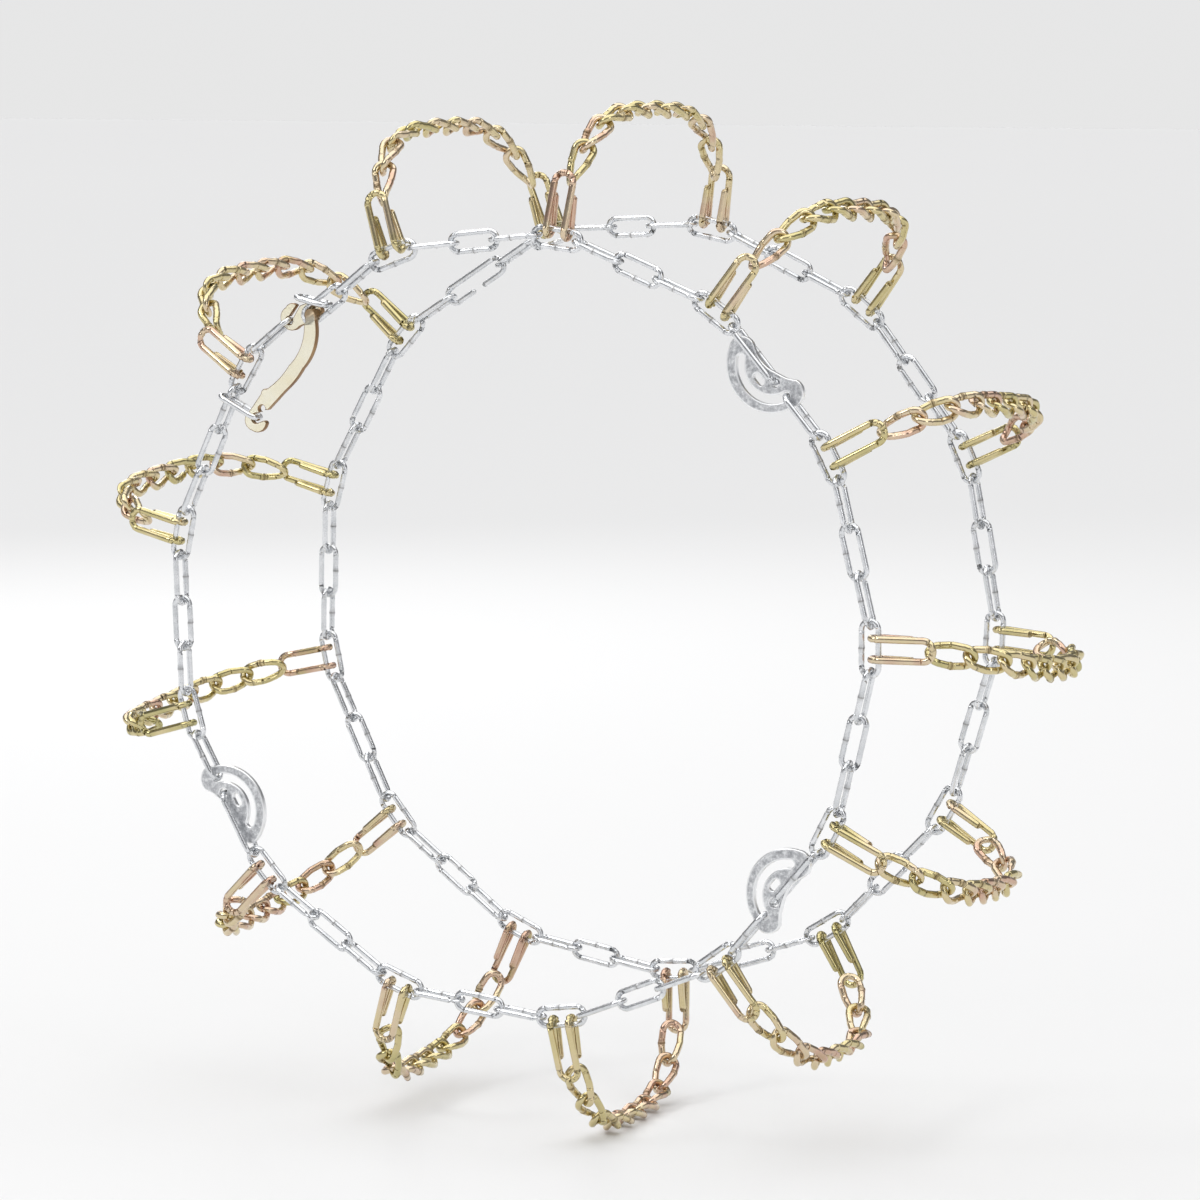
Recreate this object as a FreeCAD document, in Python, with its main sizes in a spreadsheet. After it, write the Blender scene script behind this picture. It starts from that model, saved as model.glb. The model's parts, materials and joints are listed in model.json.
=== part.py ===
import FreeCAD, Part
import math
import os
import Sketcher
from FreeCAD import Matrix, Placement, Rotation, Vector

# Ladder-pattern snow chain for one truck tyre, in the shape it has when it is fitted.
# Origin: centre of the wheel on its axle, at the middle of the tyre's width.
# -Y is the outer side, where the cams and the latch are, +Y the vehicle side, +Z up.
# Angles round the wheel are in degrees from +X towards +Z. The outer side sees them
# grow anticlockwise, and the chains are numbered clockwise from the latch.

SIZES = {
    # side chains: straight welded links
    "side_wire": 4.5,            # wire diameter
    "side_bend": 7.0,            # centreline radius of a link's round ends
    "side_pitch": 37.1,          # joint to joint
    "side_play": 0.3,            # gap between two linked wires
    "side_plane": 118.0,         # side chain to the tyre's middle plane
    "outer_ring": 309.0,         # axle to the joints of the outer hook links
    "inner_ring": 311.3,         # the same on the vehicle side
    "inner_phase": -3.4,         # how far the inner hooks lag, degrees
    # cross chains: twisted links
    "cross_wire": 5.7,
    "cross_bend": 7.1,
    "cross_half_width": 8.2,     # half the centreline width of a twisted link at its ends
    "cross_waist": 8.0,          # and at its middle
    "cross_leg_bend": 20.0,      # how gently a leg turns at the middle
    "cross_play": 1.0,
    "cross_twist": 90.0,
    "cross_roll": 2.5,           # how much each link is rolled against the last, degrees
    "crown_radius": 600.0,       # the tread that the cross chains lie over
    "crown_height": 409.0,
    "crown_half": 43.0,
    "shoulder_radius": 67.0,
    "wall_angle": 64.0,
    # hooks at the ends of a cross chain
    "hook_wire": 5.5,
    "hook_eye": 5.75,            # centreline radius of the eyes
    "hook_spread": 8.0,          # half the distance between the two prongs
    "hook_reach": 40.6,          # eye to the joint with the first twisted link
    "hook_tip": 26.0,            # how far the tips return past the eye
    "hook_closing": 12.0,        # lean of the tips towards the legs, degrees
    # cams
    "cam_thickness": 4.5,
    "cam_hole": 3.6,
    "cam_pin": 12.9,             # pivot hole to the slot's tight end
    "cam_rim": 11.3,             # width of the crescent arm, slot centre to rim
    "cam_slot": 3.45,            # half the width of the curved slot
    "cam_tool": 3.0,             # half the width of the key's slot
    "cam_bay": 26.77,            # angle between the hook links on both sides of a cam
    # latch
    "lever_thickness": 4.8,
    "lever_rear": 115.2,         # middle of the head plate
    "lever_front": 127.2,        # middle of the arm plate
    "neck_radius": 4.1,
    "eye_hole": 2.75,
    "latch_bay": 30.9,
    "latch_lift": 5.0,           # how far the lever pulls its hook link outwards
    "ring_wire": 4.5,
    "ring_bend": 5.55,           # bends of the two rings
    "face_link_plane": 122.0,
}

document = FreeCAD.newDocument("tyre_snow_chain")
sheet = document.addObject("Spreadsheet::Sheet", "sizes")
for row, (alias, value) in enumerate(SIZES.items(), start=1):
    sheet.set(f"A{row}", alias)
    sheet.set(f"B{row}", str(value))
    sheet.setAlias(f"B{row}", alias)
document.recompute()


def size(alias):
    """The sheet's value for one named dimension."""
    return float(getattr(sheet, alias))


# ---------------------------------------------------------------- geometry helpers

def frame(origin, x_axis, z_axis):
    """Placement whose X runs along x_axis and whose Z is as near to z_axis as it can be."""
    x_dir = Vector(x_axis).normalize()
    z_dir = Vector(z_axis) - x_dir * x_dir.dot(z_axis)
    z_dir.normalize()
    y_dir = z_dir.cross(x_dir)
    return Placement(Matrix(x_dir.x, y_dir.x, z_dir.x, origin.x,
                            x_dir.y, y_dir.y, z_dir.y, origin.y,
                            x_dir.z, y_dir.z, z_dir.z, origin.z,
                            0, 0, 0, 1))


def radial(angle):
    """Unit vector from the axle towards an angle on the wheel."""
    return Vector(math.cos(math.radians(angle)), 0, math.sin(math.radians(angle)))


def on_ring(angle, radius, depth):
    """Point at an angle and a radius, depth along the axle."""
    return radial(angle) * radius + Vector(0, depth, 0)


def anticlockwise(angle):
    """Unit tangent of the wheel, pointing the way the angles grow."""
    return radial(angle + 90)


def copies(name, solid, placements):
    """One sub-part made of identical pieces: a copy of the solid at each placement."""
    placed = []
    for placement in placements:
        piece = solid.copy()
        piece.Placement = placement
        placed.append(piece)
    feature = document.addObject("Part::Feature", name)
    feature.Label = name
    feature.Shape = placed[0] if len(placed) == 1 else Part.makeCompound(placed)
    return feature


def bent_wire(name, corners, bends, wire, closed):
    """Round wire through corner points, each corner rounded by the bend radius it is given.

    bends and wire are names of dimensions. Straight runs are cylinders, corners are
    stretches of torus, and all of them are fused.
    """
    pieces = []
    count = len(corners)
    starts = [None] * count
    ends = [None] * count
    for index in range(count):
        if not closed and index in (0, count - 1):
            starts[index] = ends[index] = corners[index]
            continue
        corner = corners[index]
        inward = (corner - corners[index - 1]).normalize()
        outward = (corners[(index + 1) % count] - corner).normalize()
        turn = inward.getAngle(outward)
        bend = size(bends[index])
        cut = bend * math.tan(turn / 2)
        starts[index] = corner - inward * cut
        ends[index] = corner + outward * cut
        axis = inward.cross(outward).normalize()
        centre = starts[index] + axis.cross(inward) * bend
        arc = document.addObject("Part::Torus", f"{name}_bend_{index}")
        arc.setExpression("Radius1", f"sizes.{bends[index]}")
        arc.setExpression("Radius2", f"sizes.{wire} / 2")
        arc.Angle3 = math.degrees(turn)
        arc.Placement = frame(centre, starts[index] - centre, axis)
        pieces.append(arc)
    for index in range(count if closed else count - 1):
        begin = ends[index]
        finish = starts[(index + 1) % count]
        run = finish - begin
        if run.Length < 0.01:
            continue
        side = run.cross(Vector(0, 0, 1))
        if side.Length < 0.01 * run.Length:
            side = run.cross(Vector(0, 1, 0))
        leg = document.addObject("Part::Cylinder", f"{name}_run_{index}")
        leg.setExpression("Radius", f"sizes.{wire} / 2")
        leg.Height = run.Length
        leg.Placement = frame(begin, side, run)
        pieces.append(leg)
    fused = document.addObject("Part::MultiFuse", name)
    fused.Shapes = pieces
    fused.Refine = True
    document.recompute()
    return fused


def oval_link(name, centre_length, bend, wire):
    """Flat welded link: length along X, width along Y, centre_length between wire centres."""
    half_length = centre_length / 2
    half_width = size(bend)
    corners = [Vector(half_length, half_width, 0), Vector(-half_length, half_width, 0),
               Vector(-half_length, -half_width, 0), Vector(half_length, -half_width, 0)]
    return bent_wire(name, corners, [bend] * 4, wire, closed=True)


# ---------------------------------------------------------------- side chain links

side_centre_length = size("side_pitch") + size("side_wire") + size("side_play")
joint_to_wire = (size("side_wire") + size("side_play")) / 2
side_link = oval_link("side_link_form", side_centre_length, "side_bend", "side_wire")


def link_between(first, second, flat_normal):
    """Placement of a link between two joints, its flat side facing flat_normal."""
    return frame((first + second) * 0.5, second - first, flat_normal)


def leg_middle(link):
    """Middle of a flat link's leg on the side away from the axle."""
    across = link.Rotation.multVec(Vector(0, size("side_bend"), 0))
    if across.dot(Vector(link.Base.x, 0, link.Base.z)) < 0:
        across = across * -1
    return link.Base + across


def along(first, second, distance):
    """Point at a distance from first towards second."""
    return first + (second - first).normalize() * distance


class SideChain:
    """The joints of one side chain's hook links, on a ring of its own."""

    def __init__(self, ring, depth, hook_angles):
        self.ring = ring
        self.depth = depth
        self.angles = hook_angles
        self.half_angle = math.degrees(math.asin(size("side_pitch") / 2 / ring))
        self.outwards = Vector(0, math.copysign(1, depth), 0)

    def left(self, index):
        """Joint on the anticlockwise end of a hook link."""
        angle = self.angles[index] + self.half_angle
        return on_ring(angle, self.ring, self.depth)

    def right(self, index):
        """Joint on the clockwise end of a hook link."""
        angle = self.angles[index] - self.half_angle
        return on_ring(angle, self.ring, self.depth)

    def hook_link(self, index):
        return link_between(self.left(index), self.right(index), self.outwards)

    def links(self, first, second, pattern):
        """Links on a straight run from joint first to joint second.

        pattern has one letter per link: e stands on edge, f lies flat on the sidewall.
        """
        placements = []
        step = (second - first).Length / len(pattern)
        for number, letter in enumerate(pattern):
            begin = along(first, second, step * number)
            end = along(first, second, step * (number + 1))
            middle = (begin + end) * 0.5
            outward = Vector(middle.x, 0, middle.z)
            normal = self.outwards if letter == "f" else outward
            placements.append(link_between(begin, end, normal))
        return placements

    def bay(self, index):
        """The three links between a hook link and the next one clockwise."""
        following = (index + 1) % len(self.angles)
        return self.links(self.right(index), self.left(following), "efe")


CHAINS = 13
CAM_AFTER = (2, 5, 9)            # each cam follows the hook link with this index
LATCH_CENTRE = 125.45            # angle of the middle of the latch bay

plain_bay = (360 - size("latch_bay") - 3 * size("cam_bay")) / 9
outer_angles = [LATCH_CENTRE - size("latch_bay") / 2]
for index in range(CHAINS - 1):
    bay_angle = size("cam_bay") if index in CAM_AFTER else plain_bay
    outer_angles.append(outer_angles[-1] - bay_angle)

inner_bay = (360 - size("latch_bay")) / (CHAINS - 1)
inner_angles = [outer_angles[0] + size("inner_phase") - inner_bay * index
                for index in range(CHAINS)]

outer = SideChain(size("outer_ring"), -size("side_plane"), outer_angles)
inner = SideChain(size("inner_ring"), size("side_plane"), inner_angles)

# The latch pulls the clockwise end of the last hook link a little away from the axle.
last = CHAINS - 1
latch_start = on_ring(outer_angles[last] - outer.half_angle,
                      size("outer_ring") + size("latch_lift"), -size("side_plane"))
latch_start = along(outer.left(last), latch_start, size("side_pitch"))
last_hook_link = link_between(outer.left(last), latch_start, outer.outwards)
latch_end = outer.left(0)

# ---------------------------------------------------------------- outer side chain

segments = {
    "outer_side_chain_1": (0, 1, 2),
    "outer_side_chain_2": (3, 4, 5),
    "outer_side_chain_3": (6, 7, 8, 9),
    "outer_side_chain_4": (10, 11, 12),
}
nodes = []
for name, members in segments.items():
    placements = []
    for index in members:
        placements.append(last_hook_link if index == last else outer.hook_link(index))
        if index != members[-1]:
            placements += outer.bay(index)
    nodes.append(copies(name, side_link.Shape, placements))

# ---------------------------------------------------------------- cams and their links

slot_reach = size("cam_pin")
cam_chord = (outer.left(3) - outer.right(2)).Length
slot_link_span = size("side_pitch") + joint_to_wire
pivot_link_span = cam_chord - slot_reach - slot_link_span
pivot_link = oval_link("pivot_link_form", pivot_link_span + joint_to_wire,
                       "side_bend", "side_wire")

# Outline of a cam in its own plane, pivot hole at the origin, X towards the slot's tight
# end and Y away from the axle. The slot's centreline is an arc about this point.
ARC_X = -12.1
ARC_Y = 6.0
SLACK_X = -32.4                  # middle of the slot's slack end
SLOT_ROOM = 0.3                  # the slot lies further out, for the link's curved end
RIM_GAIN = 1.0                   # the crescent arm widens from the nose to the lobe
LOBE_ANGLE = -157.0              # where the arm's rim meets the lobe, degrees


def cam_arc(radius, angle):
    """Point on a circle about the slot's centre."""
    turn = math.radians(angle)
    return Vector(ARC_X + radius * math.cos(turn), ARC_Y + radius * math.sin(turn), 0)


def origin_plane(body, role):
    """One of a body's own origin planes."""
    return next(item for item in body.Origin.OriginFeatures if item.Role == role)


def sketch_on(body, name, role, offset=0.0):
    """Empty sketch on an origin plane, moved along the plane's normal."""
    sketch = body.newObject("Sketcher::SketchObject", name)
    sketch.AttachmentSupport = [(origin_plane(body, role), "")]
    sketch.MapMode = "FlatFace"
    sketch.AttachmentOffset = Placement(Vector(0, 0, offset), Rotation())
    return sketch


def draw(sketch, start, steps):
    """Closed outline: each step is an end point, or a middle and an end point of an arc."""
    here = start
    for step in steps:
        if len(step) == 1:
            sketch.addGeometry(Part.LineSegment(here, step[0]), False)
        else:
            sketch.addGeometry(Part.Arc(here, step[0], step[1]), False)
        here = step[-1]


def draw_circle(sketch, centre, alias):
    """Circle whose radius is one of the sheet's dimensions."""
    circle = sketch.addGeometry(Part.Circle(centre, Vector(0, 0, 1), size(alias)), False)
    constraint = sketch.addConstraint(Sketcher.Constraint("Radius", circle, size(alias)))
    sketch.setExpression(f"Constraints[{constraint}]", f"sizes.{alias}")


def pad(body, sketch, alias, name):
    """Pad a sketch by one of the sheet's dimensions, half to each side."""
    feature = body.newObject("PartDesign::Pad", name)
    feature.Profile = sketch
    feature.setExpression("Length", f"sizes.{alias}")
    feature.Midplane = True
    sketch.Visibility = False
    return feature


def pocket(body, sketch, name):
    """Cut a sketch right through, to both sides."""
    before = body.Shape.Volume
    feature = body.newObject("PartDesign::Pocket", name)
    feature.Profile = sketch
    feature.Type = "ThroughAll"
    feature.Midplane = True
    document.recompute()
    if body.Shape.Volume > before - 1:
        raise RuntimeError(f"{name} cuts nothing")
    return feature


def slotted_outline(sketch, points_inner, points_outer, cap_start, cap_end):
    """Slot with round ends: its outer edge, a cap, its inner edge and the other cap."""
    draw(sketch, points_outer[0],
         [(points_outer[1], points_outer[2]),
          (cap_end, points_inner[2]),
          (points_inner[1], points_inner[0]),
          (cap_start, points_outer[0])])


def make_cam(name, placement):
    """Crescent cam: pivot hole, curved slot for the chain, small slot for the key."""
    body = document.addObject("PartDesign::Body", name)
    body.Label = name
    pin_radius = math.hypot(size("cam_pin") - ARC_X, ARC_Y)
    rim_radius = pin_radius + size("cam_rim")
    slot_radius = pin_radius + SLOT_ROOM
    half = size("cam_slot")
    tight = math.degrees(math.atan2(-ARC_Y, size("cam_pin") - ARC_X))
    slack = -math.degrees(math.acos((SLACK_X - ARC_X) / slot_radius))

    blank = sketch_on(body, f"{name}_outline", "XY_Plane")
    nose = Vector(14.0, 4.8, 0)
    nose_radius = 10.8
    nose_start = cam_arc(rim_radius - RIM_GAIN, tight + 0.5)
    nose_top = nose + Vector(-4.5, 9.8, 0).normalize() * nose_radius
    nose_side = nose + Vector(8.0, 7.2, 0).normalize() * nose_radius
    neck_start = Vector(2.4, 8.9, 0)
    neck_end = Vector(-6.5, 4.9, 0)
    lobe_start = Vector(-32.0, 4.3, 0)
    heel = cam_arc(rim_radius + RIM_GAIN, LOBE_ANGLE)
    draw(blank, nose_start,
         [(nose_side, nose_top),
          (Vector(5.6, 11.2, 0), neck_start),
          (Vector(-1.8, 6.9, 0), neck_end),
          (Vector(-18.0, 1.6, 0), lobe_start),
          (Vector(-42.6, 3.4, 0), heel),
          (cam_arc(rim_radius, (slack + tight) / 2), nose_start)])
    pad(body, blank, "cam_thickness", f"{name}_plate")
    document.recompute()

    holes = sketch_on(body, f"{name}_holes", "XY_Plane")
    draw_circle(holes, Vector(0, 0, 0), "cam_hole")
    middle = (tight + slack) / 2
    slotted_outline(holes,
                    [cam_arc(slot_radius - half, angle) for angle in (tight, middle, slack)],
                    [cam_arc(slot_radius + half, angle) for angle in (tight, middle, slack)],
                    cam_arc(slot_radius, tight) + Vector(0.2, 1, 0).normalize() * half,
                    cam_arc(slot_radius, slack) + Vector(-0.4, 1, 0).normalize() * half)
    tool = size("cam_tool")
    low, high = Vector(-8.1, -9.0, 0), Vector(-13.1, -9.0, 0)
    run = (high - low).normalize()
    across = Vector(-run.y, run.x, 0) * tool
    draw(holes, low + across,
         [(high + across,), (high + run * tool, high - across),
          (low - across,), (low - run * tool, low + across)])
    pocket(body, holes, f"{name}_openings")
    body.Placement = placement
    return body


for number, index in enumerate(CAM_AFTER, start=1):
    first = outer.right(index)
    second = outer.left(index + 1)
    hole = along(first, second, pivot_link_span)
    pin = along(first, second, pivot_link_span + slot_reach)
    outward = Vector(hole.x, 0, hole.z)
    pivot_middle = (first + hole) * 0.5
    shift = (second - first).normalize() * (joint_to_wire / 2)
    nodes.append(copies(f"cam_{number}_pivot_link", pivot_link.Shape,
                        [frame(pivot_middle - shift, second - first, outward)]))
    slot_middle = (pin + second) * 0.5 + shift
    nodes.append(copies(f"cam_{number}_slot_link", side_link.Shape,
                        [frame(slot_middle, second - first, outward)]))
    cam_placement = frame(hole, second - first, Vector(0, -1, 0))
    nodes.append(make_cam(f"cam_{number}", cam_placement))

# ---------------------------------------------------------------- inner side chain

fastener_length = (inner.left(0) - inner.right(last)).Length - 2 * size("side_pitch")
fastener_start = along(inner.right(last), inner.left(0), size("side_pitch"))
fastener_end = along(inner.right(last), inner.left(0), size("side_pitch") + fastener_length)
placements = []
for index in range(CHAINS):
    placements.append(inner.hook_link(index))
    if index != last:
        placements += inner.bay(index)
placements += inner.links(inner.right(last), fastener_start, "e")
placements += inner.links(fastener_end, inner.left(0), "e")
nodes.append(copies("inner_side_chain", side_link.Shape, placements))

# The fastener is a long open link: the chain's end slips in through the gap in one leg.
half_length = (fastener_length + 2 * joint_to_wire) / 2
half_width = size("side_bend")
GAP_HALF = 6.0
fastener = bent_wire("fastener_form",
                     [Vector(GAP_HALF, half_width, 0), Vector(half_length, half_width, 0),
                      Vector(half_length, -half_width, 0), Vector(-half_length, -half_width, 0),
                      Vector(-half_length, half_width, 0), Vector(-GAP_HALF, half_width, 0)],
                     ["side_bend"] * 6, "side_wire", closed=False)
nodes.append(copies("inner_fastener", fastener.Shape,
                    [link_between(fastener_start, fastener_end, inner.outwards)]))

# ---------------------------------------------------------------- hooks

eye = size("hook_eye")
spread = size("hook_spread")
closing = math.radians(size("hook_closing"))
bow_top = size("hook_reach") + (size("hook_wire") + size("cross_play")) / 2
tip_corner = eye * math.tan((math.pi / 2 + closing) / 2)
tip_height = size("hook_tip")
tip_depth = tip_corner - (tip_height + eye) * math.tan(closing)
# Hook form: X along the side chain, Y away from the tyre, Z towards the tread.
prong = [Vector(spread, tip_depth, tip_height), Vector(spread, tip_corner, -eye),
         Vector(spread, -eye, -eye), Vector(spread, -eye, bow_top)]
mirrored = [Vector(-point.x, point.y, point.z) for point in reversed(prong)]
hook_bends = ["hook_eye", "hook_eye", "hook_eye", "hook_spread"]
hook = bent_wire("hook_form", prong + mirrored, hook_bends + hook_bends[::-1],
                 "hook_wire", closed=False)


def hook_placement(link, joint, side):
    """Hook on the leg of its hook link, its bow's joint with the first link at joint.

    side is +1 on the vehicle side and -1 on the outer side.
    """
    seat = leg_middle(link)
    reach = joint - seat
    lean = math.degrees(math.asin(eye / reach.Length))
    along_link = link.Rotation.multVec(Vector(1, 0, 0))
    clockwise = -anticlockwise(math.degrees(math.atan2(seat.z, seat.x)))
    if along_link.dot(clockwise) * side > 0:
        along_link = along_link * -1
    upright = Rotation(along_link, lean).multVec(reach)
    return frame(seat, along_link, upright)


# ---------------------------------------------------------------- cross chains

def tread_profile(distance):
    """Half width and height of the cross chain's line, a distance along it from the crown."""
    crown = size("crown_radius")
    half = size("crown_half")
    start = math.asin(half / crown)
    if distance < crown * start:
        turn = distance / crown
        return crown * math.sin(turn), size("crown_height") - crown * (1 - math.cos(turn))
    width = half
    height = size("crown_height") - crown * (1 - math.cos(start))
    distance -= crown * start
    shoulder = size("shoulder_radius")
    wall = math.radians(size("wall_angle"))
    turned = min(distance / shoulder, wall - start)
    width += shoulder * (math.sin(start + turned) - math.sin(start))
    height -= shoulder * (math.cos(start) - math.cos(start + turned))
    rest = max(distance - shoulder * (wall - start), 0)
    return width + rest * math.cos(wall), height - rest * math.sin(wall)


LINKS = 9
BOW = {4: -1.6}                  # cross chains that sag round the wheel, in degrees


def cross_point(index, distance):
    """Point on a cross chain's line, distance from the crown, negative on the outer side."""
    width, height = tread_profile(abs(distance))
    depth = math.copysign(width, distance)
    share = (depth + size("side_plane")) / (2 * size("side_plane"))
    skew = (inner_angles[index] - outer_angles[index]) * share
    bow = BOW.get(index, 0.0) * math.sin(math.pi * share)
    return on_ring(outer_angles[index] + skew + bow, height, depth)


def end_distance(index, seat, side):
    """Distance along the line where the hook's joint is, found by halving."""
    reach = math.hypot(size("hook_reach"), eye)
    near, far = 100.0, 160.0
    for _ in range(50):
        middle = (near + far) / 2
        if (cross_point(index, side * middle) - seat).Length > reach:
            near = middle
        else:
            far = middle
    return side * near


def equal_steps(index, begin, end):
    """Joints between two distances, LINKS equal chords apart."""
    low, high = 20.0, 40.0
    for _ in range(50):
        chord = (low + high) / 2
        joints = [begin]
        for _ in range(LINKS):
            here = cross_point(index, joints[-1])
            near, far = joints[-1], joints[-1] + 2 * chord
            for _ in range(40):
                middle = (near + far) / 2
                if (cross_point(index, middle) - here).Length < chord:
                    near = middle
                else:
                    far = middle
            joints.append(near)
        if joints[-1] < end:
            low = chord
        else:
            high = chord
    points = [cross_point(index, distance) for distance in joints[:-1]]
    return points + [cross_point(index, end)], chord


hook_links = [(outer.hook_link(index), inner.hook_link(index)) for index in range(CHAINS)]
hook_links[last] = (last_hook_link, hook_links[last][1])
ladders = []
for index, (near_link, far_link) in enumerate(hook_links):
    begin = end_distance(index, leg_middle(near_link), -1)
    end = end_distance(index, leg_middle(far_link), 1)
    ladders.append(equal_steps(index, begin, end))
longest = max(chord for points, chord in ladders)
shortest = min(chord for points, chord in ladders)
print(f"cross chain pitch {shortest:.2f} to {longest:.2f} mm")

# Twisted link form: X along the link, its two end bows a quarter turn apart.
cross_centre = longest + size("cross_wire") + size("cross_play")
half_twist = math.radians(size("cross_twist") / 2)
wide = size("cross_half_width")


def bow_corner(end, sign):
    """Corner of the twisted link at one end, end and sign being +1 or -1."""
    twist = half_twist * end
    return Vector(end * cross_centre / 2,
                  sign * wide * math.cos(twist), sign * wide * math.sin(twist))


waist = Vector(0, size("cross_waist"), 0)
cross_link = bent_wire("cross_link_form",
                       [bow_corner(-1, 1), waist, bow_corner(1, 1),
                        bow_corner(1, -1), -waist, bow_corner(-1, -1)],
                       ["cross_bend", "cross_leg_bend", "cross_bend"] * 2,
                       "cross_wire", closed=True)

for index, (points, chord) in enumerate(ladders):
    placements = []
    for number in range(LINKS):
        first, second = points[number], points[number + 1]
        middle = (first + second) * 0.5
        tangent = -anticlockwise(math.degrees(math.atan2(middle.z, middle.x)))
        outward = (second - first).cross(tangent) * -1
        if outward.dot(Vector(middle.x, 0, middle.z)) < 0:
            outward = outward * -1
        roll = size("cross_roll") * (number - (LINKS - 1) / 2)
        placement = frame(middle, second - first, outward)
        placement = placement.multiply(Placement(Vector(), Rotation(Vector(1, 0, 0), roll)))
        placements.append(placement)
    label = f"{index + 1:02d}"
    nodes.append(copies(f"cross_chain_{label}", cross_link.Shape, placements))
    nodes.append(copies(f"outer_hook_{label}", hook.Shape,
                        [hook_placement(hook_links[index][0], points[0], -1)]))
    nodes.append(copies(f"inner_hook_{label}", hook.Shape,
                        [hook_placement(hook_links[index][1], points[-1], 1)]))

# ---------------------------------------------------------------- latch

# The lever link stands on edge. Its far end lies in the eye of the lever.
bay_run = latch_end - latch_start
LEVER_LINK_SETBACK = 1.9         # how far its far end lies nearer to the tyre
LEVER_LINK_RISE = 5.1            # degrees that it points further out than the bay's chord
rise = Rotation(Vector(0, -1, 0), LEVER_LINK_RISE)
lever_link_run = rise.multVec(bay_run)
lever_link_run.y = LEVER_LINK_SETBACK * lever_link_run.Length / size("side_pitch")
lever_seat = along(latch_start, latch_start + lever_link_run,
                   size("side_pitch") + joint_to_wire)
lever_link_end = along(latch_start, lever_seat, size("side_pitch"))
nodes.append(copies("lever_link", side_link.Shape,
                    [link_between(latch_start, lever_link_end,
                                  Vector(lever_seat.x, 0, lever_seat.z))]))

# Lever frame: X along the face link towards the latch bay's end, Y out from the axle.
FACE_LINK_SHIFT = Vector(0, size("side_plane") - size("face_link_plane"), 0)
face_left_target = lever_seat + Vector(16.8, 0, 0.2)
end_run = face_left_target - latch_end
end_run.y = 0
edge_joint = along(latch_end, latch_end + end_run, size("side_pitch"))
face_joint = along(latch_end, latch_end + end_run, 2 * size("side_pitch"))
edge_placement = link_between(edge_joint, latch_end, Vector(edge_joint.x, 0, edge_joint.z))
face_tilted = face_joint + FACE_LINK_SHIFT
face_placement = link_between(face_tilted, edge_joint, Vector(0, -1, 0))
nodes.append(copies("latch_chain_end", side_link.Shape, [edge_placement, face_placement]))

lever_x = (latch_end - face_joint).normalize()
lever_origin = Vector(lever_seat.x, -size("side_plane"), lever_seat.z)
lever_frame = frame(lever_origin, lever_x, Vector(0, -1, 0))
local_origin = lever_frame.inverse()
NECK_PLAY = 1.2                  # the neck comes nearer to the link when the lever is pressed
face_left = local_origin.multVec(face_joint - lever_x * joint_to_wire)



def level(depth):
    """Height of a depth along the axle above the lever's own zero."""
    return depth - size("side_plane")


def make_lever(name, placement, face_end):
    """Lever: an eyed head plate behind the face link, an arm in front of it, and the
    round neck that joins them through the link."""
    body = document.addObject("PartDesign::Body", name)
    body.Label = name
    neck = face_end + Vector(size("side_wire") / 2 + NECK_PLAY + size("neck_radius"), 0, 0)
    neck.z = 0

    head = sketch_on(body, f"{name}_head_outline", "XY_Plane", level(size("lever_rear")))
    draw(head, Vector(12.2, 5.6, 0),
         [(Vector(9.4, 9.6, 0), Vector(3.0, 10.2, 0)),
          (Vector(-6.6, 5.6, 0), Vector(-7.2, -2.4, 0)),
          (Vector(-3.4, -8.0, 0), Vector(3.0, -9.4, 0)),
          (Vector(9.5, -11.2, 0), Vector(14.0, -14.6, 0)),
          (Vector(neck.x, -16.8, 0), Vector(neck.x + 5.8, -13.0, 0)),
          (Vector(29.6, -8.6, 0), Vector(28.6, -4.6, 0)),
          (Vector(22.4, 0.6, 0), Vector(14.0, 3.4, 0)),
          (Vector(2.4, -0.8, 0),),
          (Vector(-4.1, -0.1, 0), Vector(1.2, 2.6, 0)),
          (Vector(12.2, 5.6, 0),)])
    pad(body, head, "lever_thickness", f"{name}_head")

    pin = sketch_on(body, f"{name}_neck_outline", "XY_Plane",
                    level((size("lever_rear") + size("lever_front")) / 2))
    draw_circle(pin, neck, "neck_radius")
    neck_pad = pad(body, pin, "lever_thickness", f"{name}_neck")
    neck_pad.setExpression("Length", "sizes.lever_front - sizes.lever_rear")

    arm = sketch_on(body, f"{name}_arm_outline", "XY_Plane", level(size("lever_front")))
    draw(arm, Vector(neck.x - 5.4, neck.y - 2.0, 0),
         [(neck + Vector(0.6, 5.9, 0), Vector(neck.x + 5.8, neck.y - 2.2, 0)),
          (Vector(13.5, -32.2, 0), Vector(-8.0, -41.4, 0)),
          (Vector(-19.5, -44.6, 0), Vector(-30.7, -45.8, 0)),
          (Vector(-42.0, -47.0, 0),),
          (Vector(-54.6, -48.4, 0),),
          (Vector(-56.8, -46.8, 0),),
          (Vector(-55.6, -43.4, 0), Vector(-58.4, -41.4, 0)),
          (Vector(-61.4, -42.4, 0), Vector(-61.5, -45.3, 0)),
          (Vector(-66.4, -43.4, 0),),
          (Vector(-71.8, -46.0, 0), Vector(-68.8, -51.0, 0)),
          (Vector(-64.4, -52.4, 0),),
          (Vector(-62.2, -54.6, 0), Vector(-64.0, -57.0, 0)),
          (Vector(-72.0, -57.8, 0), Vector(-77.0, -52.6, 0)),
          (Vector(-78.9, -46.2, 0), Vector(-75.4, -40.4, 0)),
          (Vector(-69.3, -39.0, 0),),
          (Vector(-52.0, -34.4, 0),),
          (Vector(-49.4, -32.8, 0), Vector(-45.4, -34.4, 0)),
          (Vector(-36.0, -34.9, 0), Vector(-16.8, -31.7, 0)),
          (Vector(5.6, -23.4, 0), Vector(neck.x - 5.4, neck.y - 2.0, 0))])
    pad(body, arm, "lever_thickness", f"{name}_arm")
    document.recompute()
    body.Placement = placement
    return body


nodes.append(make_lever("lever", lever_frame, face_left))

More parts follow.
